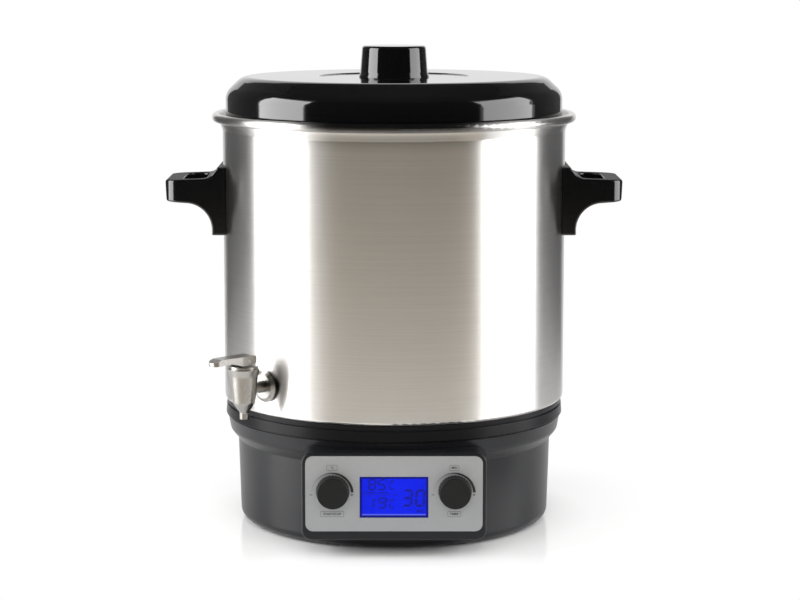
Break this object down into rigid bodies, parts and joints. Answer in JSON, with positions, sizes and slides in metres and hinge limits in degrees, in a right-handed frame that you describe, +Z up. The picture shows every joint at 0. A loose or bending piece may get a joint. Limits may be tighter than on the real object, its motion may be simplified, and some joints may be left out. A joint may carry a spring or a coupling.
{
  "type": "electric preserving cooker",
  "caption": "Tall steel pot with a lift-off black lid and side handles on a black electric base with a dial and display panel and a small lever tap; heats and holds liquids.",
  "frame": {"origin": "on the surface that the cooker stands on, under the middle of the pot", "axes": "+Z up, -Y towards the control panel at the front, +X to the right seen from the front"},
  "size_m": [0.4636, 0.3843, 0.4877],
  "materials": {
    "pot_steel": "brushed",
    "lid_black": "polished",
    "grip_black": "polished",
    "base_black": "satin",
    "dial_black": "matt",
    "panel_silver": "satin",
    "window": "clear",
    "lcd_blue": "backlit",
    "board_green": "solder mask",
    "tap_nickel": "satin nickel",
    "seal_rubber": "matt",
    "screw_steel": "zinc plated",
    "heater_metal": "cast",
    "element_steel": "oxidised",
    "shield_metal": "mill",
    "insert_brass": "turned",
    "part_black": "moulded",
    "relay_blue": "moulded",
    "terminal_grey": "moulded",
    "core_metal": "varnished",
    "encoder_metal": "stamped"
  },
  "bodies": {
    "cooker": {"base_housing": "base_black", "base_ring": "base_black", "bottom_cover": "base_black", "bottom_screws": "screw_steel", "buzzer": "part_black", "capacitor": "part_black", "control_box": "base_black", "cord_gland": "part_black", "display_board": "board_green", "display_screws": "screw_steel", "display_window": "window", "handle_inserts": "insert_brass", "handle_screw_seals": "seal_rubber", "handle_screws": "screw_steel", "heat_shield": "shield_metal", "heater_plate": "heater_metal", "heating_element": "element_steel", "lcd_module": "lcd_blue", "left_encoder_body": "encoder_metal", "left_handle": "grip_black", "panel_plate": "panel_silver", "pot": "pot_steel", "pot_studs": "screw_steel", "power_board": "board_green", "power_board_screws": "screw_steel", "relay": "relay_blue", "right_encoder_body": "encoder_metal", "right_handle": "grip_black", "ring_screws": "screw_steel", "rubber_feet": "seal_rubber", "stud_nuts": "screw_steel", "tap_body": "tap_nickel", "tap_bonnet": "tap_nickel", "tap_inner_seal": "seal_rubber", "tap_nut": "tap_nickel", "tap_outer_seal": "seal_rubber", "tap_rosette": "tap_nickel", "tap_spring": "screw_steel", "temperature_sensor": "part_black", "terminal_block": "terminal_grey", "thermal_cutout": "part_black", "transformer": "core_metal"},
    "lid": {"lid_shell": "lid_black", "lid_knob": "lid_black", "lid_knob_screw": "screw_steel", "lid_knob_washer": "screw_steel"},
    "left_rotor": {"left_encoder_rotor": "encoder_metal"},
    "right_rotor": {"right_encoder_rotor": "encoder_metal"},
    "left_knob": {"left_dial": "dial_black", "left_dial_shaft": "encoder_metal"},
    "right_knob": {"right_dial": "dial_black", "right_dial_shaft": "encoder_metal"},
    "valve_stem": {"tap_stem": "tap_nickel", "tap_seat_seal": "seal_rubber"},
    "valve_lever": {"tap_lever": "tap_nickel", "tap_lever_pin": "tap_nickel"}
  },
  "joints": [
    {"name": "lid_lift", "type": "slide", "parent": "cooker", "child": "lid", "axis": [0, 0, 1], "range_m": [0, 0.15]},
    {"name": "left_dial_turn", "type": "hinge", "parent": "cooker", "child": "left_rotor", "pos_m": [-0.059, -0.185, 0.0665], "axis": [0, -1, 0], "continuous": true},
    {"name": "left_dial_push", "type": "slide", "parent": "left_rotor", "child": "left_knob", "axis": [0, 1, 0], "range_m": [0, 0.0015], "stiffness_N_per_m": 800, "springref_m": -0.001},
    {"name": "right_dial_turn", "type": "hinge", "parent": "cooker", "child": "right_rotor", "pos_m": [0.059, -0.185, 0.0665], "axis": [0, -1, 0], "continuous": true},
    {"name": "right_dial_push", "type": "slide", "parent": "right_rotor", "child": "right_knob", "axis": [0, 1, 0], "range_m": [0, 0.0015], "stiffness_N_per_m": 800, "springref_m": -0.001},
    {"name": "tap_stem_lift", "type": "slide", "parent": "cooker", "child": "valve_stem", "axis": [0, 0, 1], "range_m": [0, 0.0054], "deforming": ["tap_spring"]},
    {"name": "tap_lever_tilt", "type": "hinge", "parent": "valve_stem", "child": "valve_lever", "pos_m": [-0.14674, -0.14171, 0.187], "axis": [-0.6947, 0.7193, 0], "range_deg": [0, 76]}
  ],
  "couplings": [
    {"joint": "tap_lever_tilt", "follows": "tap_stem_lift", "rad_per_m": 242.41}
  ]
}
